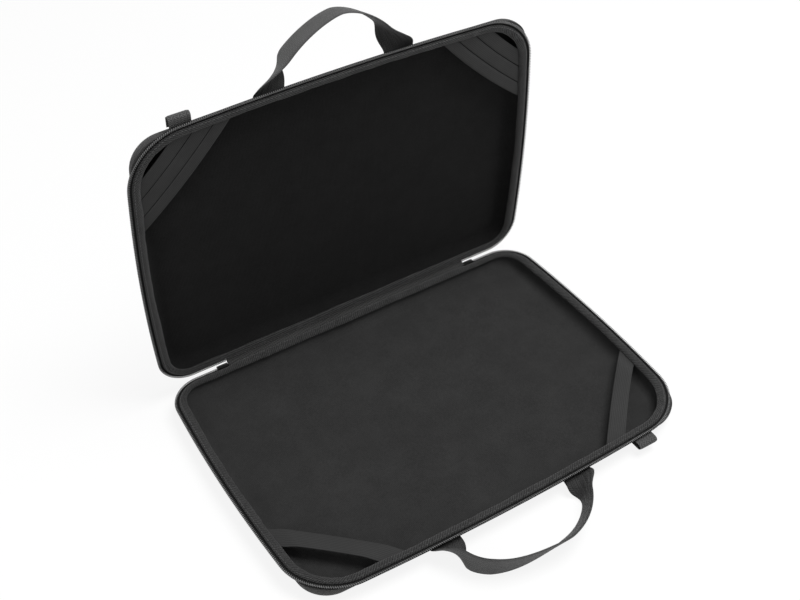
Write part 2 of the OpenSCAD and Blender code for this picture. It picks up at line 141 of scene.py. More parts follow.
def front_y(x, inset=0.0):
    return SHELL_MID_Y - SHELL_HY + inset - SHELL_FRONT_BOW * (1 - (x / (SHELL_HX - inset)) ** 2)


def at_height(run, z):
    return np.column_stack([run, np.full(len(run), z) if np.isscalar(z) else z])


def lengths(points, closed=False):
    """The distance along a line at each of its points, and the whole length at the end of a closed one."""
    p = np.vstack([points, points[:1]]) if closed else np.asarray(points)
    return np.concatenate([[0], np.cumsum(np.linalg.norm(np.diff(p, axis=0), axis=1))])


def tangents(points, closed=False):
    if closed:
        t = np.roll(points, -1, 0) - np.roll(points, 1, 0)
    else:
        t = np.gradient(points, axis=0)
    return t / np.linalg.norm(t, axis=1, keepdims=True)


def resample(points, step):
    """The same open line with evenly spaced points, about a step apart."""
    s = lengths(points)
    at = np.linspace(0, s[-1], max(2, int(round(s[-1] / step)) + 1))
    return np.column_stack([np.interp(at, s, points[:, k]) for k in range(points.shape[1])])


CORNER_GAIN, CORNER_START = 2.4, 0.12


def cornering(points):
    """How far each point of a closed outline is round a corner: 0 along the sides, 1 in its middle."""
    t = tangents(points, closed=True)
    return np.clip(CORNER_GAIN * np.abs(t[:, 0] * t[:, 1]) - CORNER_START, 0, 1)


def smooth(t):
    t = np.clip(t, 0, 1)
    return t * t * (3 - 2 * t)


def thinned(across, least):
    """Thickness across a strap, from -1 to 1: full but for its rounded edges, which keep the least share."""
    return np.sqrt(np.clip(1 - across ** 8, 0, 1)) * (1 - least) + least


def wobble(seed, s, scale):
    """Smooth noise along a line, from -1 to 1."""
    return np.array([noise.noise((v / scale, seed * 7.3, 0.5)) for v in s])


# ---------------------------------------------------------------- meshes
def to_lid(p):
    """Moves points drawn in the base's place to the same place in the open lid."""
    y, z = p[..., 1] - FOLD_Y, MEET_Z - p[..., 2]
    c, s = math.cos(-LID_OPEN), math.sin(-LID_OPEN)
    return np.stack([p[..., 0], FOLD_Y + y * c - z * s, MEET_Z + y * s + z * c], -1)


def skin(grid, uv, closed_rows=False, closed_columns=False, caps=False):
    """Vertices, faces and UVs of a surface through grid[row, column].

    The UVs have one more row or column where the surface closes on itself.
    """
    rows, columns = grid.shape[:2]
    r = np.arange(rows if closed_rows else rows - 1)
    c = np.arange(columns if closed_columns else columns - 1)
    i, j = np.meshgrid(r, c, indexing="ij")
    i2, j2 = (i + 1) % rows, (j + 1) % columns
    corners = [i * columns + j, i * columns + j2, i2 * columns + j2, i2 * columns + j]
    faces = np.stack(corners, -1).reshape(-1, 4)
    corner_uv = np.stack([uv[i, j], uv[i, j + 1], uv[i + 1, j + 1], uv[i + 1, j]], 2).reshape(-1, 2)
    ends = []
    if caps:
        ends = [list(range(columns))[::-1], list(range((rows - 1) * columns, rows * columns))]
    return grid.reshape(-1, 3), faces, corner_uv, ends


def mesh_of(name, surface, lid=False, sharp=50):
    """A Blender mesh, in metres, from one or more surfaces."""
    surfaces = surface if isinstance(surface, list) else [surface]
    points, faces, uvs, count = [], [], [], 0
    for grid, quads, corner_uv, ends in surfaces:
        points.append(grid)
        faces += [[v + count for v in f] for f in quads.tolist()]
        uvs.append(corner_uv)
        for end in ends:
            faces.append([v + count for v in end])
            uvs.append(np.zeros((len(end), 2)))
        count += len(grid)
    co = np.concatenate(points)
    if lid:
        co = to_lid(co)
    me = bpy.data.meshes.new(name)
    me.from_pydata((co * MM).tolist(), [], faces)
    layer = me.uv_layers.new(name="strip")
    loops = np.concatenate(uvs).astype(np.float32)
    layer.data.foreach_set("uv", loops.ravel())
    if lid:
        me.flip_normals()
    me.polygons.foreach_set("use_smooth", np.ones(len(me.polygons), bool))
    me.validate()
    me.set_sharp_from_angle(angle=math.radians(sharp))
    return me


def piece(name, mesh, material, body, slot, *nodes):
    """Puts a mesh in the scene as a piece that rides on a body and stands for CAD nodes."""
    obj = bpy.data.objects.new(name, mesh)
    bpy.context.scene.collection.objects.link(obj)
    mesh.materials.append(material)
    if nodes:
        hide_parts(*nodes)
    if body:
        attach(obj, body)
    return obj


def loop_surface(section, path_length, caps=True):
    """A surface from sections[i, j], closed round each section, with UVs in millimetres."""
    around = lengths(section[len(section) // 2], closed=True)
    uv = np.stack(np.meshgrid(path_length, around, indexing="ij"), -1)
    return skin(section, uv, closed_columns=True, caps=caps)


# ---------------------------------------------------------------- materials
class Finish:
    """A material's node tree, with short calls for the nodes that the fabrics share."""

    def __init__(self, name, roughness, **sockets):
        self.material = bpy.data.materials.new(name)
        self.material.use_nodes = True
        self.tree = self.material.node_tree
        self.shader = self.tree.nodes["Principled BSDF"]
        self.shader.inputs["Roughness"].default_value = roughness
        for key, value in sockets.items():
            self.shader.inputs[key.replace("_", " ")].default_value = value

    def node(self, kind, **settings):
        n = self.tree.nodes.new(kind)
        for key, value in settings.items():
            setattr(n, key, value)
        return n

    def feed(self, socket, value):
        if isinstance(value, bpy.types.NodeSocket):
            self.tree.links.new(value, socket)
        else:
            socket.default_value = value

    def math(self, operation, a, b=0.0):
        n = self.node("ShaderNodeMath", operation=operation)
        self.feed(n.inputs[0], a)
        self.feed(n.inputs[1], b)
        return n.outputs[0]

    def strip(self):
        """Distance along and across a strip, in millimetres."""
        uv = self.node("ShaderNodeUVMap", uv_map="strip")
        parts = self.node("ShaderNodeSeparateXYZ")
        self.tree.links.new(uv.outputs["UV"], parts.inputs[0])
        return parts.outputs["X"], parts.outputs["Y"]

    def place(self):
        return self.node("ShaderNodeTexCoord").outputs["Object"]

    def wave(self, distance, pitch):
        """A sine from 0 to 1 with a pitch in millimetres."""
        s = self.math("SINE", self.math("MULTIPLY", distance, 2 * math.pi / pitch))
        return self.half(s)

    def half(self, s):
        n = self.node("ShaderNodeMath", operation="MULTIPLY_ADD")
        self.feed(n.inputs[0], s)
        n.inputs[1].default_value = 0.5
        n.inputs[2].default_value = 0.5
        return n.outputs[0]

    def noise(self, scale, detail=3.0, rough=0.55, seed=0.0):
        """Noise from 0 to 1. Scale is in features a metre."""
        n = self.node("ShaderNodeTexNoise", noise_dimensions="4D")
        self.tree.links.new(self.place(), n.inputs["Vector"])
        n.inputs["W"].default_value = seed
        n.inputs["Scale"].default_value = scale
        n.inputs["Detail"].default_value = detail
        n.inputs["Roughness"].default_value = rough
        return n.outputs["Fac"]

    def ramp(self, value, *stops):
        """Maps a value through stops of (position, grey)."""
        n = self.node("ShaderNodeValToRGB")
        elements = n.color_ramp.elements
        for k, (position, grey) in enumerate(stops):
            e = elements[k] if k < 2 else elements.new(position)
            e.position = position
            e.color = (grey, grey, grey, 1)
        self.feed(n.inputs["Fac"], value)
        return n.outputs["Color"]

    def mix(self, amount, a, b):
        n = self.node("ShaderNodeMix", data_type="RGBA")
        self.feed(n.inputs["Factor"], amount)
        self.feed(n.inputs["A"], a)
        self.feed(n.inputs["B"], b)
        return n.outputs["Result"]

    def colour(self, amount, dark, light, mottle=0.12, mottle_scale=35.0):
        """Base colour between two tints by amount, with a broad unevenness as of worn dye."""
        base = self.mix(amount, (*dark, 1), (*light, 1))
        patchy = self.ramp(self.noise(mottle_scale, 4, 0.6), (0.3, 1 - mottle), (0.7, 1 + mottle))
        n = self.node("ShaderNodeMix", data_type="RGBA", blend_type="MULTIPLY")
        n.inputs["Factor"].default_value = 1
        self.feed(n.inputs["A"], base)
        self.feed(n.inputs["B"], patchy)
        self.tree.links.new(n.outputs["Result"], self.shader.inputs["Base Color"])
        return n.outputs["Result"]

    def bump(self, height, depth, strength=1.0, under=None):
        """A bump whose height of 1 is depth millimetres."""
        n = self.node("ShaderNodeBump")
        n.inputs["Strength"].default_value = strength
        n.inputs["Distance"].default_value = depth * MM
        self.feed(n.inputs["Height"], height)
        if under is not None:
            self.tree.links.new(under, n.inputs["Normal"])
        self.tree.links.new(n.outputs["Normal"], self.shader.inputs["Normal"])
        return n.outputs["Normal"]

    def add(self, *terms):
        """A weighted sum of values: each term is (value, weight)."""
        total = 0.0
        for value, weight in terms:
            n = self.node("ShaderNodeMath", operation="MULTIPLY_ADD")
            self.feed(n.inputs[0], value)
            n.inputs[1].default_value = weight
            self.feed(n.inputs[2], total)
            total = n.outputs[0]
        return total


def grey(level, warmth=0.0):
    """A near-grey in linear light, a little warm or cool."""
    return (level * (1 + warmth), level, level * (1 - warmth))


def twill_finish():
    """The binding: a soft twill tape with diagonal ribs."""
    f = Finish("binding_twill", 0.9, Sheen_Weight=0.12, Sheen_Roughness=0.4, Specular_IOR_Level=0.25)
    u, v = f.strip()
    rib = f.wave(f.add((u, 0.9), (v, 1.1)), 2.3)
    yarn = f.wave(f.add((u, 0.9), (v, -1.3)), 1.5)
    height = f.add((rib, 0.65), (yarn, 0.35))
    worn = f.noise(650, 3)
    tone = f.add((height, 0.6), (worn, 0.7))
    f.colour(f.ramp(tone, (0.35, 0.0), (0.95, 1.0)), grey(0.005), grey(0.052), 0.2, 90)
    f.bump(f.add((height, 1.0), (worn, 0.5)), 0.6)
    return f.material


def shell_finish():
    """The outer cover: fine plain-woven cloth bonded to the moulded foam."""
    f = Finish("shell_fabric", 0.85, Sheen_Weight=0.12, Sheen_Roughness=0.45, Specular_IOR_Level=0.3)
    u, v = f.strip()
    warp = f.wave(f.math("ADD", u, v), 2.1)
    weft = f.wave(f.math("SUBTRACT", u, v), 2.1)
    height = f.add((f.math("MULTIPLY", warp, weft), 1.0), (f.noise(900), 0.2))
    f.colour(f.ramp(height, (0.08, 0.0), (0.7, 1.0)), grey(0.009), grey(0.062, 0.01), 0.15, 30)
    f.bump(height, 0.4)
    return f.material


def lining_finish(name, dark, light):
    """The lining: a close knit with a short nap, bonded to the shell, with faint rub marks and lint."""
    f = Finish(name, 0.95, Sheen_Weight=0.04, Sheen_Roughness=0.5, Specular_IOR_Level=0.1)
    u, v = f.strip()
    knit = f.math("MULTIPLY", f.wave(u, 1.3), f.wave(v, 1.1))
    nap = f.noise(1100, 2)
    rubs = f.ramp(f.noise(40, 6, 0.75, seed=3.0), (0.4, 0.0), (0.7, 1.0))
    tone = f.add((knit, 0.3), (nap, 0.6), (rubs, 0.12))
    cloth = f.ramp(tone, (0.25, 0.0), (0.9, 1.0))
    lint = f.ramp(f.noise(260, 2, 0.5, seed=8.0), (0.73, 0.0), (0.76, 0.5))
    f.colour(f.add((cloth, 1.0), (lint, 0.8)), dark, light, 0.06, 14)
    soft = f.bump(f.noise(45, 3), 1.6, 0.4)
    f.bump(f.add((knit, 0.6), (nap, 0.6)), 0.2, 1.0, soft)
    return f.material


def elastic_finish():
    """Smooth woven elastic: fine ribs along it, with finer picks across."""
    f = Finish("elastic", 0.8, Sheen_Weight=0.08, Sheen_Roughness=0.35, Specular_IOR_Level=0.3)
    u, v = f.strip()
    rib = f.wave(v, 1.6)
    pick = f.wave(u, 0.8)
    height = f.add((rib, 0.7), (pick, 0.3))
    f.colour(f.ramp(height, (0.1, 0.0), (0.9, 1.0)), grey(0.016), grey(0.028), 0.1, 45)
    f.bump(height, 0.16)
    return f.material


def webbing_finish(name, back=1.0):
    """Polypropylene webbing: chevron wales along the strap. Its back may be painted darker than its front, as
    painted shade on the face turned from the light.
    """
    f = Finish(name, 0.7, Sheen_Weight=0.1, Sheen_Roughness=0.35, Specular_IOR_Level=0.35)
    u, v = f.strip()
    wale = f.math("PINGPONG", v, 3.0)
    chevron = f.wave(f.math("ADD", u, wale), 2.2)
    groove = f.wave(v, 3.0)
    height = f.add((chevron, 0.7), (groove, 0.3))
    # The back face darkened by the back factor is painted shade, not a darker dye: the same webbing on the
    # face turned from the light.
    shaded_back = f.math("GREATER_THAN", v, WEBBING_WIDTH + 1)
    shade = f.math("SUBTRACT", 1.0, f.math("MULTIPLY", shaded_back, 1 - back))
    tone = f.math("MULTIPLY", f.ramp(height, (0.15, 0.25), (0.85, 1.0)), shade)
    f.colour(tone, grey(0.004), grey(0.075), 0.14, 50)
    f.bump(f.add((height, 1.0), (f.noise(1500), 0.2)), 0.45)
    return f.material


def tape_finish():
    """Zip tape: tight black herringbone."""
    f = Finish("zip_tape", 0.9, Specular_IOR_Level=0.15)
    u, v = f.strip()
    height = f.wave(f.math("ADD", u, f.math("PINGPONG", v, 1.2)), 1.2)
    f.colour(f.ramp(height, (0.2, 0.0), (0.8, 1.0)), grey(0.003), grey(0.014), 0.1, 60)
    f.bump(height, 0.2)
    return f.material


def coil_finish():
    """Nylon coil: half-gloss monofilament with faint draw lines."""
    f = Finish("zip_coil", 0.34, IOR=1.53, Coat_Weight=0.15)
    tone = f.noise(700, 3)
    f.colour(tone, grey(0.05), grey(0.15), 0.15, 90)
    f.bump(f.noise(2600, 2), 0.02)
    return f.material


def metal_finish():
    """Black enamel on a zinc casting, rubbed on its edges."""
    f = Finish("slider_metal", 0.32, Coat_Weight=0.4, Coat_Roughness=0.2, Metallic=0.3)
    rub = f.ramp(f.noise(420, 5, 0.7), (0.58, 0.0), (0.72, 1.0))
    f.colour(rub, grey(0.018), grey(0.07), 0.1, 200)
    f.bump(f.noise(1500, 3), 0.03)
    return f.material


def thread_finish():
    """Sewing thread: two plies that show as a fine twist."""
    f = Finish("thread", 0.6, Sheen_Weight=0.3)
    u, v = f.strip()
    twist = f.wave(f.math("ADD", u, v), 0.45)
    f.colour(twist, grey(0.02), grey(0.055), 0.1, 100)
    f.bump(twist, 0.06)
    return f.material


# ---------------------------------------------------------------- shells and linings
EDGE_ANGLES = np.radians(np.linspace(0, 90, 15))
FLOOR_SHARES = np.linspace(0.985, 0.05, 26)
# Unevenness of the lining's floor: its height and the breadth of its waves, and its gap to the shell
LINING_SWAY, SWAY_BREADTH, LINING_GAP = 0.35, 38, 0.1


def edge_inset(depth, a):
    return depth + (EDGE_RUN - depth) * (1 - math.cos(a) ** (2 / EDGE_POWER))


def edge_height(depth, a):
    return depth + (RIM_Z - depth) * (1 - math.sin(a) ** (2 / EDGE_POWER))


def tray_rings(depth, sway=0.0):
    """Rings of a tray's surface from its rim down its wall and in over its floor."""
    rings = [at_height(shell_run(edge_inset(depth, a)), edge_height(depth, a)) for a in EDGE_ANGLES]
    rim_of_floor = rings[-1]
    middle = np.array([0, SHELL_MID_Y, depth])
    for share in FLOOR_SHARES:
        ring = middle + (rim_of_floor - middle) * share
        if sway:
            lift = [noise.noise((p[0] / SWAY_BREADTH, p[1] / SWAY_BREADTH, depth)) for p in ring]
            ring[:, 2] += sway * (1 - share ** 6) * (np.array(lift) + 0.5)
        rings.append(ring)
    return np.array(rings)


def unfold(rings):
    """UVs of a tray as if its wall were laid flat round its floor, so that one weave runs over both."""
    edge = len(EDGE_ANGLES) - 1
    flat = rings[edge][:, :2]
    t = tangents(flat, closed=True)
    outward = np.stack([-t[:, 1], t[:, 0]], 1)
    down = np.linalg.norm(np.diff(rings[: edge + 1], axis=0), axis=2)
    reach = np.vstack([np.cumsum(down[::-1], axis=0)[::-1], np.zeros(down.shape[1])])
    walls = flat[None] + outward[None] * reach[:, :, None]
    uv = np.concatenate([walls, rings[edge + 1:, :, :2]])
    return np.concatenate([uv, uv[:, :1]], 1)


def tray(outer_depth, inner_depth, sway=0.0):
    """A closed tray: its inner surface from the middle of the floor to the rim, and its outer one back."""
    inner, outer = tray_rings(inner_depth, sway), tray_rings(outer_depth)
    grid = np.concatenate([inner[::-1], outer])
    uv = np.concatenate([unfold(inner)[::-1], unfold(outer)])
    return skin(grid, uv, closed_columns=True, caps=True)


def shell(half, material):
    surface = tray(0, SHELL_WALL - LINING_GAP)
    mesh = mesh_of(f"{half}_cover", surface, half == "lid")
    return piece(f"{half}_cover", mesh, material, half, "shell_fabric", f"{half}_shell")


def lining(half, material):
    surface = tray(SHELL_WALL, FLOOR_Z, LINING_SWAY)
    mesh = mesh_of(f"{half}_inside", surface, half == "lid")
    return piece(f"{half}_inside", mesh, material, half, "lining_fabric", f"{half}_lining")


# ---------------------------------------------------------------- binding
# The roll's section: share of its width from the zip inwards, and height over the rim
BINDING_SECTION = (
    (0.05, 0.28), (0.00, 0.42), (0.00, 0.66), (0.07, 0.86), (0.20, 0.97), (0.36, 1.00),
    (0.52, 0.97), (0.68, 0.87), (0.82, 0.70), (0.93, 0.45), (1.00, 0.14), (1.00, -0.02),
    (0.94, -0.08), (0.80, -0.06), (0.62, 0.02), (0.55, 0.28), (0.30, 0.28))
PUCKER_PITCH, PUCKER_DEPTH, PUCKER_DRIFT = 4.6, 0.42, 2.6
# Share of the puckers' depth that they keep along the sides
PUCKER_REST = 0.06
# The roll's inner edge wanders: how far it goes, in broad and in fine waves
WANDER_BROAD, WANDER_FINE = 0.8, 0.4
HINGE_LAP, HINGE_LAP_RUN = 2.1, 5.0


def back_share():
    """How much each point of an outline belongs to the hinge side: 0 on the sides and 1 by the hinge."""
    y = outline(ZIP_HX, ZIP_HY, ZIP_CORNER_R, ZIP_BACK_CORNER_R, 0, 0, 0, True)[:, 1]
    return smooth((y - ZIP_HY + ZIP_BACK_CORNER_R) / ZIP_BACK_CORNER_R)


def binding_line(share):
    """A line along the binding, by its share of the width. By the hinge its edge comes out to the fold."""
    round_ = zip_run(BINDING_INSET + BINDING_WIDTH * share, True)
    back = zip_run(BACK_BINDING_INSET + BACK_BINDING_WIDTH * share, True)
    line = round_ + (back - round_) * back_share()[:, None]
    lap = smooth((HINGE_LENGTH / 2 - 1 - np.abs(line[:, 0])) / HINGE_LAP_RUN) * (line[:, 1] > 0)
    line[:, 1] += HINGE_LAP * lap * (1 - share)
    return line


def binding(half, material, seed):
    """The soft roll of twill over the rim, puckered round the corners and a little uneven elsewhere."""
    middle = binding_line(0.5)
    s = lengths(middle, closed=True)[:-1]
    corner = cornering(middle)
    pucker = np.sin(2 * math.pi * s / PUCKER_PITCH + PUCKER_DRIFT * wobble(seed, s, 17))
    wander = WANDER_BROAD * wobble(seed + 1, s, 26) + WANDER_FINE * wobble(seed + 2, s, 7)
    rings = []
    for across, height in BINDING_SECTION:
        ring = binding_line(across)
        inward = smooth((across - 0.3) / 0.6)
        step_in = (binding_line(across + 0.13) - ring) * (wander * inward)[:, None]
        crown = smooth((height - 0.3) / 0.6)
        dip = (PUCKER_REST + (1 - PUCKER_REST) * corner) * PUCKER_DEPTH * (pucker - 0.8) * crown
        z = RIM_Z + height * BINDING_HEIGHT + dip + 0.1 * (wander - 1) * crown
        rings.append(at_height(ring + step_in, z))
    grid = np.array(rings).transpose(1, 0, 2)
    along = lengths(middle, closed=True)
    around = lengths(grid[0], closed=True)
    uv = np.stack(np.meshgrid(along, around, indexing="ij"), -1)
    surface = skin(grid, uv, closed_rows=True, closed_columns=True)
    mesh = mesh_of(f"{half}_roll", surface, half == "lid")
    return piece(f"{half}_roll", mesh, material, half, "binding_twill", f"{half}_binding")


STITCH_LENGTH, STITCH_PITCH, STITCH_R = 2.7, 3.6, 0.28
STITCH_SIDES, STITCH_STEPS = 6, 7
# Where the seam runs in the roll's section
SEAM_SHARE, SEAM_HEIGHT = 0.2, 0.97


def stitches(path, up):
    """A row of sewn stitches: short round-ended threads that dip into the cloth at each end."""
    s = lengths(path)
    surfaces = []
    a = np.linspace(0, 2 * math.pi, STITCH_SIDES, endpoint=False)
    for start in np.arange(STITCH_PITCH / 2, s[-1] - STITCH_LENGTH, STITCH_PITCH):
        at = np.linspace(start, start + STITCH_LENGTH, STITCH_STEPS)
        line = np.column_stack([np.interp(at, s, path[:, k]) for k in range(3)])
        lift = np.column_stack([np.interp(at, s, up[:, k]) for k in range(3)])
        t = np.linspace(-1, 1, STITCH_STEPS)
        line = line - lift * (STITCH_R * 1.6 * t ** 4)[:, None]
        size = STITCH_R * np.sqrt(np.clip(1.05 - t ** 4, 0.05, 1))
        way = tangents(line)
        side = np.cross(way, lift)
        ring = side[:, None] * np.cos(a)[None, :, None] + lift[:, None] * np.sin(a)[None, :, None]
        surfaces.append(loop_surface(line[:, None] + ring * size[:, None, None], at))
    return surfaces


def binding_seam(half, material):
    """The seam that holds the binding: stitches along its outer third."""
    path = at_height(binding_line(SEAM_SHARE), RIM_Z + SEAM_HEIGHT * BINDING_HEIGHT - 0.1)
    path = resample(np.vstack([path, path[:1]]), 1.0)
    up = np.tile([0.0, 0.0, 1.0], (len(path), 1))
    mesh = mesh_of(f"{half}_seam", stitches(path, up), half == "lid")
    return piece(f"{half}_seam", mesh, material, half, "binding_twill")


# ---------------------------------------------------------------- zip
TAPE_LIFT = 0.03


def tape(half, material):
    """The zip tape: a flat strip on the rim, from under the binding out to the edge that carries the coil."""
    edge = zip_run(-TAPE_THICK / 2)
    under = binding_line(0.5)[:len(edge)]
    shares = np.linspace(0, 1, 7)
    low = [at_height(edge + (under - edge) * k, RIM_Z + TAPE_LIFT) for k in shares]
    top = [at_height(edge + (under - edge) * k, TAPE_Z) for k in shares]
    grid = np.array(low[::-1] + top).transpose(1, 0, 2)
    mesh = mesh_of(f"{half}_tape", loop_surface(grid, lengths(edge)), half == "lid")
    return piece(f"{half}_tape", mesh, material, half, "zip_tape", f"{half}_zip_tape")


COIL_PITCH, WIRE_R, TURN_POINTS = 1.9, 0.45, 12


def coil(half, material):
    """The zip's coil: one flattened helix of monofilament, wound along the edge of the tape."""
    line = resample(zip_run(0), COIL_PITCH / TURN_POINTS)
    s = lengths(line)
    t = tangents(line)
    outward = np.stack([-t[:, 1], t[:, 0]], 1)
    a = 2 * math.pi * s / COIL_PITCH
    reach = (COIL_WIDTH / 2 - WIRE_R) * np.cos(a)
    path = at_height(line + outward * reach[:, None], COIL_Z + (COIL_HEIGHT / 2 - WIRE_R) * np.sin(a))
    way = tangents(path)
    side = np.cross(way, np.column_stack([t, np.zeros(len(t))]))
    side /= np.linalg.norm(side, axis=1, keepdims=True)
    lift = np.cross(side, way)
    turn = np.radians(np.arange(0, 360, 72))
    ring = side[:, None] * np.cos(turn)[None, :, None] + lift[:, None] * np.sin(turn)[None, :, None]
    surface = loop_surface(path[:, None] + ring * WIRE_R, lengths(path))
    mesh = mesh_of(f"{half}_teeth", surface, half == "lid", sharp=80)
    return piece(f"{half}_teeth", mesh, material, half, "zip_coil", f"{half}_zip_coil")


# ---------------------------------------------------------------- hinge
LEAF_THICK = 1.0
# The cloth leaves the wall below the rim, turns above it, and bends over this distance each side of the fold
FOOT_DROP, KNEE_RISE, BEND_REACH = 5, 2.2, 2.2


def hinge(material):
    """One strip of cover cloth from the base's back wall, round the fold, to the lid's."""
    wall = SHELL_BACK_Y + LEAF_THICK / 2 + 0.05
    t = np.linspace(0, 1, 25)[:, None]
    foot, knee = np.array([wall, RIM_Z - FOOT_DROP]), np.array([wall, RIM_Z + KNEE_RISE])
    fold = np.array([FOLD_Y, MEET_Z])
    up = foot * (1 - t) ** 2 + 2 * knee * t * (1 - t) + fold * t ** 2
    on = to_lid(np.column_stack([np.zeros(len(up)), up]))[::-1, 1:]
    middle = resample(np.concatenate([up, on[1:]]), 0.4)
    way = tangents(middle)
    n = np.stack([way[:, 1], -way[:, 0]], 1)
    closed = np.concatenate([middle + n * LEAF_THICK / 2, (middle - n * LEAF_THICK / 2)[::-1]])
    xs = np.linspace(-HINGE_LENGTH / 2 + TOUCH, HINGE_LENGTH / 2 - TOUCH, 131)
    grid = np.array([np.column_stack([np.full(len(closed), x), closed]) for x in xs])
    mesh = mesh_of("hinge_cloth", loop_surface(grid, xs))
    obj = piece("hinge_cloth", mesh, material, None, "shell_fabric", "hinge_spine_base", "hinge_spine_lid")
    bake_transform(obj)
    return obj


# ---------------------------------------------------------------- handles
TURN_REACH, ARCH_STEPS = 28.0, 720
# Places along a handle, as shares of its length, at which its flare is given
FLARE_AT = (0.25, 0.6, 0.8)


class Handle:
    """A strip of webbing with flat ends that turns on edge for its grip, drawn as it leaves the base.

    span: distance between its ends. reach and slip: how far its middle lies out and to the right.
    shoulders: how square its left and right halves are. flare: lean of its upper edge, at three places.
    rise: height of the grip over the ends. lean: the whole strip's. lead: how far one edge turns first.
    """

    def __init__(self, span, reach, slip, shoulders, flare, rise, lean, lead):
        self.span, self.reach, self.slip, self.shoulders = span, reach, slip, shoulders
        self.flare, self.rise, self.lean, self.lead = np.radians(flare), rise, math.radians(lean), lead

    def point(self, a):
        side = -1 if a > math.pi / 2 else 1
        power = self.shoulders[0 if side < 0 else 1]
        out = self.reach * math.sin(a) ** (2 / power)
        x = self.slip + (side * self.span / 2 - self.slip) * abs(math.cos(a)) ** (2 / power)
        return [x, out, self.rise * float(smooth(out / TURN_REACH))]

    def sections(self):
        angles = np.linspace(math.pi, 0, ARCH_STEPS + 1)
        middle = resample(np.array([self.point(a) for a in angles]), 1.0)
        way = tangents(middle)
        side = np.where(np.arange(len(middle)) < len(middle) / 2, -1, 1)[:, None]
        across = np.linspace(-1, 1, 17)
        out = middle[:, 1:2]
        turn = math.pi / 2 * smooth((out + np.minimum(out, self.lead) * across) / TURN_REACH)
        flare = np.interp(np.linspace(0, 1, len(middle)), FLARE_AT, self.flare)[:, None]
        v = np.stack([side * np.cos(turn), np.sin(flare) * np.sin(turn), np.cos(flare) * np.sin(turn)], 2)
        steps = (v[:, 1:] + v[:, :-1]) / 2 * WEBBING_WIDTH / (len(across) - 1)
        swept = np.concatenate([np.zeros((len(v), 1, 3)), np.cumsum(steps, axis=1)], 1)
        centre = middle[:, None] + swept - swept[:, len(across) // 2][:, None]
        n = np.cross(way[:, None], v)
        n /= np.linalg.norm(n, axis=2, keepdims=True)
        offset = n * (thinned(across, 0.06) * WEBBING_THICK / 2)[None, :, None]
        return np.concatenate([centre + offset, (centre - offset)[:, ::-1]], 1)

    def place(self, p):
        """Moves points from the strip's own place to the front of the base, with the strip's lean."""
        c, s = math.cos(self.lean), math.sin(self.lean)
        y, z = -p[..., 1], p[..., 2]
        root = -front_y(BASE_SPAN / 2) + TOUCH + WEBBING_THICK / 2
        return np.stack([p[..., 0] - HANDLE_OFFSET, -root + y * c - z * s, SEAM_Z + y * s + z * c], -1)


BASE_SPAN, LID_SPAN = 140.0, 129.0
BASE_HANDLE = Handle(BASE_SPAN, 57.5, 8.5, (2.8, 1.95), (14, 33, 27), 3.2, 0, 9.0)
LID_HANDLE = Handle(LID_SPAN, 50.5, 12, (1.5, 1.7), (0, 0, 0), 0, 20, 4.0)


def handle(name, shape, lid, material):
    grid = shape.place(shape.sections())[:, ::-1]
    along = grid[:, 6]
    mesh = mesh_of(f"{name}_strap", loop_surface(grid, lengths(along)), lid)
    return piece(f"{name}_strap", mesh, material, name, "webbing", name)


# ---------------------------------------------------------------- loops
LOOP_PLACE, LOOP_WIDTH, LOOP_REACH, LOOP_THICK, LOOP_GAP = 147.0, 20.0, 12.5, 1.1, 4.8


def loop(half, material):
    """A tab of webbing folded back on itself, with its opening along the seam."""
    r = LOOP_GAP / 2 + LOOP_THICK
    middle_r = r - LOOP_THICK / 2
    straight = LOOP_REACH - r
    turn = np.radians(np.linspace(90, -90, 19))
    run = np.concatenate([
        np.column_stack([np.linspace(0, straight, 6)[:-1], np.full(5, middle_r)]),
        np.column_stack([straight + middle_r * np.cos(turn), middle_r * np.sin(turn)]),
        np.column_stack([np.linspace(straight, 0, 6)[1:], np.full(5, -middle_r)])])
    way = tangents(run)
    n = np.stack([way[:, 1], -way[:, 0]], 1) * -1
    x = (LOOP_PLACE if half == "base" else -LOOP_PLACE) - HANDLE_OFFSET
    y = front_y(x) - TOUCH
    across = np.linspace(-1, 1, 11)
    edge = thinned(across, 0.1)

    def sheet_at(side):
        rows = []
        for k, e in zip(across, edge):
            p = run + n * side * e * LOOP_THICK / 2
            at = np.full(len(p), x + k * LOOP_WIDTH / 2)
            rows.append(np.column_stack([at, y - p[:, 0], SEAM_Z + p[:, 1]]))
        return np.array(rows).transpose(1, 0, 2)

    grid = np.concatenate([sheet_at(1), sheet_at(-1)[:, ::-1]], 1)
    mesh = mesh_of(f"{half}_tab", loop_surface(grid, lengths(run)), half == "lid")
    return piece(f"{half}_tab", mesh, material, half, "webbing", f"{half}_loop")


# ---------------------------------------------------------------- elastic
ELASTIC_Z = RIM_Z - TOUCH - ELASTIC_THICK
BINDING_END = BINDING_INSET + BINDING_WIDTH - ZIP_FLARE + 1
LIFT_RUN, TUCK = 13.0, 4.3
BAND_REACHES = ((40, 58.5), (59.5, 77.5), (78.5, 93.5))
# How far each edge of the bands bows out of the corner, from the outermost in
BAND_BOWS = (1.0, 1.6, 2.2, 3.4)
BAND_CROWN = 0.28
STRAP_SHIFT, STRAP_BOW = {"left": -3.0, "right": 3.0}, 1.2


def across_corner(reach, u, bow=0.0, shift=0.0):
    """A place on a strap across the front left corner. u runs along it, and reach is how far in it lies."""
    y, x = SHELL_FRONT_Y + reach + shift, reach - SHELL_HX
    side, front = np.array([-side_x(y, TUCK), y]), np.array([x, front_y(x, TUCK)])
    u = u[:, None]
    return side * (1 - u) + front * u + bow * 2.8 * u * (1 - u)


def strap_height(x, y):
    """Height of a strap's underside: low under the binding, lifted further in."""
    inset = np.minimum(side_x(y) - np.abs(x), y - front_y(x))
    lifted = FLOOR_Z + HELD_THICK - ELASTIC_Z
    return ELASTIC_Z + lifted * smooth((inset - BINDING_END - TOUCH) / LIFT_RUN)


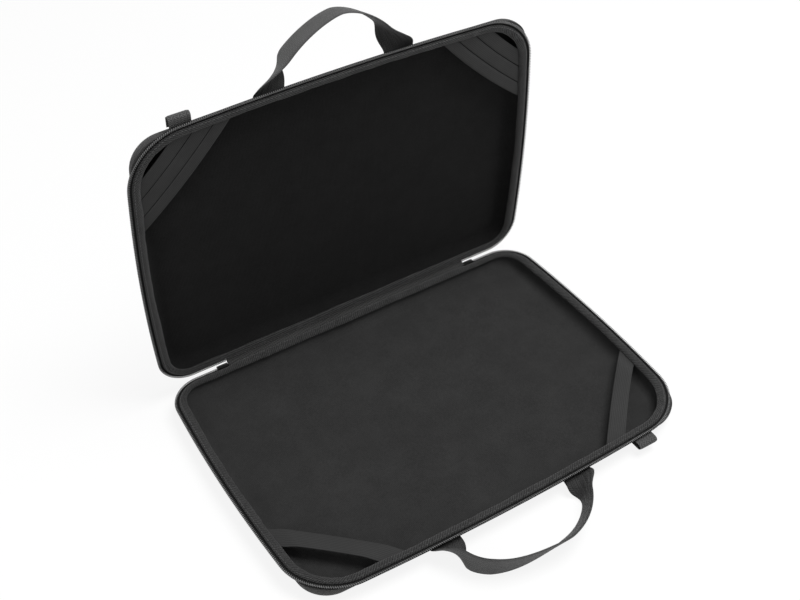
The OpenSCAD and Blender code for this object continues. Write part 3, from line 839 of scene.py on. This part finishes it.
def elastic_grid(rows_at, heights, thick):
    """A thin strap from lines across it, with rounded edges."""
    edge = thinned(np.linspace(-1, 1, len(rows_at)), 0.15)
    top, low = (
        np.array([np.column_stack([p, h + thick / 2 * (1 + side * e)])
                  for p, h, e in zip(rows_at, heights, edge)])
        for side in (1, -1))
    return np.concatenate([top, low[::-1]]).transpose(1, 0, 2)


def mirrored(grid, right):
    """The same strap at the right corner."""
    return grid * np.array([-1, 1, 1]) if right else grid[:, ::-1]


def base_strap(side, material):
    u = np.linspace(0, 1, 61)
    outer = STRAP_REACH - STRAP_WIDTH * math.sqrt(2)
    shares, shift = np.linspace(0, 1, 11), STRAP_SHIFT[side]
    lines = [across_corner(outer + (STRAP_REACH - outer) * k, u, STRAP_BOW, shift) for k in shares]
    heights = [strap_height(p[:, 0], p[:, 1]) for p in lines]
    grid = mirrored(elastic_grid(lines, heights, ELASTIC_THICK), side == "right")
    name = f"base_strap_{side}"
    mesh = mesh_of(f"{name}_elastic", loop_surface(grid, lengths(grid[:, 5])))
    return piece(f"{name}_elastic", mesh, material, "base", "elastic", name)


def lid_band(side, index, material):
    u = np.linspace(0, 1, 41)
    start, end = BAND_REACHES[index]
    bow = BAND_BOWS[index: index + 2]
    shares = np.linspace(0, 1, 11)
    lines = [across_corner(start + (end - start) * k, u, bow[0] + (bow[1] - bow[0]) * k) for k in shares]
    heights = [ELASTIC_Z + BAND_CROWN * 4 * k * (1 - k) * np.sin(math.pi * u) for k in shares]
    grid = mirrored(elastic_grid(lines, heights, ELASTIC_THICK), side == "right")
    name = f"lid_band_{side}_{('outer', 'middle', 'inner')[index]}"
    mesh = mesh_of(f"{name}_elastic", loop_surface(grid, lengths(grid[:, 5])), lid=True)
    return piece(f"{name}_elastic", mesh, material, "lid", "elastic", name)


# ---------------------------------------------------------------- sliders and pulls
SLIDER_LENGTH, PULL_LENGTH, RUN = 11.0, 24.0, 0.2
SLIDER_X = HINGE_LENGTH / 2 + RUN
PLATE, BRIDGE, OUTER_PLATE, INNER_PLATE = 0.8, 0.4, 5.2, 2.1
EAR_R, EAR_THICK, EAR_GAP, PIN_R = 1.2, 0.8, 1.4, 0.55
CHANNEL = COIL_WIDTH + 2 * RUN
CHANNEL_Y = ZIP_BACK_Y - CHANNEL / 2
SLIDER_TOP = COIL_Z + COIL_HEIGHT / 2 + RUN * 0.75 + BRIDGE
OUTER_Y = ZIP_BACK_Y + CHANNEL / 2 + PLATE
PIN_X, PIN_Y, PIN_Z = SLIDER_X + SLIDER_LENGTH / 2, OUTER_Y + EAR_R + RUN, COIL_Z - 4


def block(bm, low, high, rounded):
    """A box between two corners, with rounded edges."""
    made = bmesh.ops.create_cube(bm, size=1)["verts"]
    for v in made:
        v.co = [(a + b) / 2 + c * (b - a) for a, b, c in zip(low, high, v.co)]
    edges = list({e for v in made for e in v.link_edges})
    bmesh.ops.bevel(bm, geom=edges, offset=rounded, segments=2, profile=0.5, affect="EDGES")


def disc(bm, x, y, low, high, radius):
    """An upright cylinder."""
    turned = Matrix.Translation((x, y, (low + high) / 2))
    bmesh.ops.create_cone(bm, cap_ends=True, segments=28, radius1=radius, radius2=radius, depth=high - low,
                          matrix=turned)


def casting(name, bm, side, material, body):
    """Finishes a metal piece, mirrored for the left side."""
    for v in bm.verts:
        v.co = Vector((v.co.x * (-1 if side == "left" else 1), v.co.y, v.co.z)) * MM
    if side == "left":
        bmesh.ops.reverse_faces(bm, faces=bm.faces[:])
    mesh = bpy.data.meshes.new(name)
    bm.to_mesh(mesh)
    bm.free()
    mesh.polygons.foreach_set("use_smooth", np.ones(len(mesh.polygons), bool))
    mesh.set_sharp_from_angle(angle=math.radians(35))
    return piece(name, mesh, material, body, "slider_metal", body)


def slider(side, material):
    """A slider over the coil: bridge, short inner plate, long outer plate with two ears and the pin."""
    bm = bmesh.new()
    x0, x1, end_y = SLIDER_X, SLIDER_X + SLIDER_LENGTH, OUTER_Y
    inner_edge, bridge_edge, outer_edge = 0.12, 0.1, 0.16
    block(bm, (x0, CHANNEL_Y - PLATE, SLIDER_TOP - INNER_PLATE), (x1, CHANNEL_Y, SLIDER_TOP), inner_edge)
    block(bm, (x0, CHANNEL_Y - PLATE, SLIDER_TOP - BRIDGE), (x1, end_y, SLIDER_TOP), bridge_edge)
    block(bm, (x0, end_y - PLATE, SLIDER_TOP - OUTER_PLATE), (x1, end_y, SLIDER_TOP), outer_edge)
    for z in (PIN_Z - EAR_GAP / 2 - EAR_THICK, PIN_Z + EAR_GAP / 2):
        block(bm, (PIN_X - EAR_R, end_y - 0.1, z), (PIN_X + EAR_R, PIN_Y, z + EAR_THICK), 0.1)
        disc(bm, PIN_X, PIN_Y, z, z + EAR_THICK, EAR_R)
    disc(bm, PIN_X, PIN_Y, PIN_Z - EAR_GAP / 2 - EAR_THICK, PIN_Z + EAR_GAP / 2 + EAR_THICK, PIN_R)
    return casting(f"slider_{side}_cast", bm, side, material, f"slider_{side}")


def pull(side, material):
    """A pull on the pin: an eye, a slim neck and a plate with a raised border and grip ridges."""
    bm = bmesh.new()
    thick, width, neck, eye = 1.1, 4.0, 6.2, EAR_GAP - RUN
    cheek, border, ridge, ridges = 0.3, 0.7, 0.6, 6
    far, near, y0, y1 = PIN_X - PULL_LENGTH, PIN_X - neck, PIN_Y - thick / 2, PIN_Y + thick / 2
    for z in (PIN_Z - eye / 2, PIN_Z + eye / 2 - cheek):
        disc(bm, PIN_X, PIN_Y, z, z + cheek, EAR_R)
    block(bm, (near - 0.5, y0 + 0.1, PIN_Z - eye / 2), (PIN_X - PIN_R - 0.1, y1 - 0.1, PIN_Z + eye / 2), 0.15)
    block(bm, (far, y0 + 0.15, PIN_Z - width / 2), (near, y1 - 0.15, PIN_Z + width / 2), 0.3)
    for z in (PIN_Z - width / 2, PIN_Z + width / 2 - border):
        block(bm, (far, y0, z), (near, y1, z + border), 0.2)
    for x in np.linspace(far + 0.4, near - 0.9, ridges):
        block(bm, (x, y0, PIN_Z - width / 2 + 0.3), (x + ridge, y1, PIN_Z + width / 2 - 0.3), 0.15)
    return casting(f"pull_{side}_cast", bm, side, material, f"pull_{side}")


# ---------------------------------------------------------------- stage and light
FLOOR_HALF, FLOOR_TONE, FLOOR_GLOW = 8.0, 0.97, 0.86
WORLD_LIGHT = 0.35
# Each light: its place and the point it is turned to, in metres, its side and its power
AIM_POINT = (0, 0, 0.1)
KEY_LIGHT = ("key", (0.7, -0.3, 2.1), AIM_POINT, 1.2, 44)
FILL_LIGHT = ("fill", (-1.6, -1.0, 1.1), AIM_POINT, 1.2, 7)


def floor_finish():
    """Pale floor: it shows nearly white to the camera and still takes the object's shadow."""
    f = Finish("floor", 0.9)
    f.shader.inputs["Base Color"].default_value = (FLOOR_TONE, FLOOR_TONE, FLOOR_TONE, 1)
    f.shader.inputs["Specular IOR Level"].default_value = 0
    glow = f.node("ShaderNodeEmission")
    glow.inputs["Strength"].default_value = 1
    rays = f.node("ShaderNodeLightPath")
    seen = f.math("MAXIMUM", rays.outputs["Is Camera Ray"], rays.outputs["Is Glossy Ray"])
    share = f.math("MULTIPLY", seen, FLOOR_GLOW)
    both = f.node("ShaderNodeMixShader")
    f.tree.links.new(share, both.inputs[0])
    f.tree.links.new(f.shader.outputs[0], both.inputs[1])
    f.tree.links.new(glow.outputs[0], both.inputs[2])
    f.tree.links.new(both.outputs[0], f.tree.nodes["Material Output"].inputs["Surface"])
    return f.material


def stage():
    """A plain floor, wide enough to fill the view."""
    h = FLOOR_HALF
    me = bpy.data.meshes.new("floor")
    me.from_pydata([(-h, -h, 0), (h, -h, 0), (h, h, 0), (-h, h, 0)], [], [(0, 1, 2, 3)])
    me.materials.append(floor_finish())
    obj = bpy.data.objects.new("floor", me)
    bpy.context.scene.collection.objects.link(obj)


def area_light(name, place, aim, size, watts):
    """A square soft light."""
    data = bpy.data.lights.new(name, "AREA")
    data.size, data.energy = size, watts
    obj = bpy.data.objects.new(name, data)
    obj.location = place
    obj.rotation_euler = (Vector(aim) - Vector(place)).to_track_quat("-Z", "Y").to_euler()
    bpy.context.scene.collection.objects.link(obj)


def lights():
    """A white surround that lights the case less than it shows, and two soft lights."""
    world = bpy.data.worlds.new("studio")
    bpy.context.scene.world = world
    world.use_nodes = True
    tree = world.node_tree
    back = tree.nodes["Background"]
    back.inputs["Color"].default_value = (1, 1, 1, 1)
    rays = tree.nodes.new("ShaderNodeLightPath")
    seen = tree.nodes.new("ShaderNodeMath")
    seen.operation = "MAXIMUM"
    tree.links.new(rays.outputs["Is Camera Ray"], seen.inputs[0])
    tree.links.new(rays.outputs["Is Glossy Ray"], seen.inputs[1])
    strength = tree.nodes.new("ShaderNodeMapRange")
    strength.inputs["To Min"].default_value = WORLD_LIGHT
    strength.inputs["To Max"].default_value = 1.0
    tree.links.new(seen.outputs[0], strength.inputs["Value"])
    tree.links.new(strength.outputs[0], back.inputs["Strength"])
    area_light(*KEY_LIGHT)
    area_light(*FILL_LIGHT)


AZIMUTH, ELEVATION = -33.3, 39.17
FOCAL_PX, CENTRE_PX = 1323.6, (460.48, 240.0)
IMAGE_PX, SENSOR = (800, 600), 36.0
AIM = (0.0, 147.75, 20.0)
TRACK = (111.47, 72.68, 1343.99)


def camera():
    """The photograph's camera: turned about the middle of the zip's back, then moved along its own axes."""
    az, el = math.radians(AZIMUTH), math.radians(ELEVATION)
    back = Vector((math.sin(az) * math.cos(el), -math.cos(az) * math.cos(el), math.sin(el)))
    right = Vector((math.cos(az), math.sin(az), 0))
    up = back.cross(right)
    data = bpy.data.cameras.new("camera")
    data.sensor_width = SENSOR
    data.lens = FOCAL_PX / IMAGE_PX[0] * SENSOR
    data.shift_x = (IMAGE_PX[0] / 2 - CENTRE_PX[0]) / IMAGE_PX[0]
    data.shift_y = (CENTRE_PX[1] - IMAGE_PX[1] / 2) / IMAGE_PX[0]
    obj = bpy.data.objects.new("camera", data)
    obj.location = (Vector(AIM) + right * TRACK[0] + up * TRACK[1] + back * TRACK[2]) * MM
    obj.rotation_euler = (math.pi / 2 - el, 0, az)
    bpy.context.scene.collection.objects.link(obj)
    bpy.context.scene.camera = obj


# ---------------------------------------------------------------- the case
def build():
    """Makes the materials, then every piece of the case."""
    twill, cover, elastic = twill_finish(), shell_finish(), elastic_finish()
    # The handles' webbing has its back painted darker (0.3) as painted shade; the loops' webbing is even on
    # both faces.
    webbing, tabs = webbing_finish("webbing", 0.3), webbing_finish("loop_webbing")
    cloth, nylon = tape_finish(), coil_finish()
    metal, thread = metal_finish(), thread_finish()
    # The lid and base linings are one cloth; the lid's darker tints are painted shade for the upright lid,
    # which gets less light.
    linings = {"base": lining_finish("base_lining", grey(0.018), grey(0.05)),
               "lid": lining_finish("lid_lining", grey(0.004), grey(0.017))}
    for half, seed in (("base", 1), ("lid", 5)):
        shell(half, cover)
        lining(half, linings[half])
        binding(half, twill, seed)
        binding_seam(half, thread)
        tape(half, cloth)
        coil(half, nylon)
        loop(half, tabs)
    hinge(cover)
    handle("base_handle", BASE_HANDLE, False, webbing)
    handle("lid_handle", LID_HANDLE, True, webbing)
    for side in ("left", "right"):
        base_strap(side, elastic)
        for index in range(3):
            lid_band(side, index, elastic)
        slider(side, metal)
        pull(side, metal)


bpy.context.scene.view_settings.view_transform = "Standard"
camera()
stage()
lights()
build()
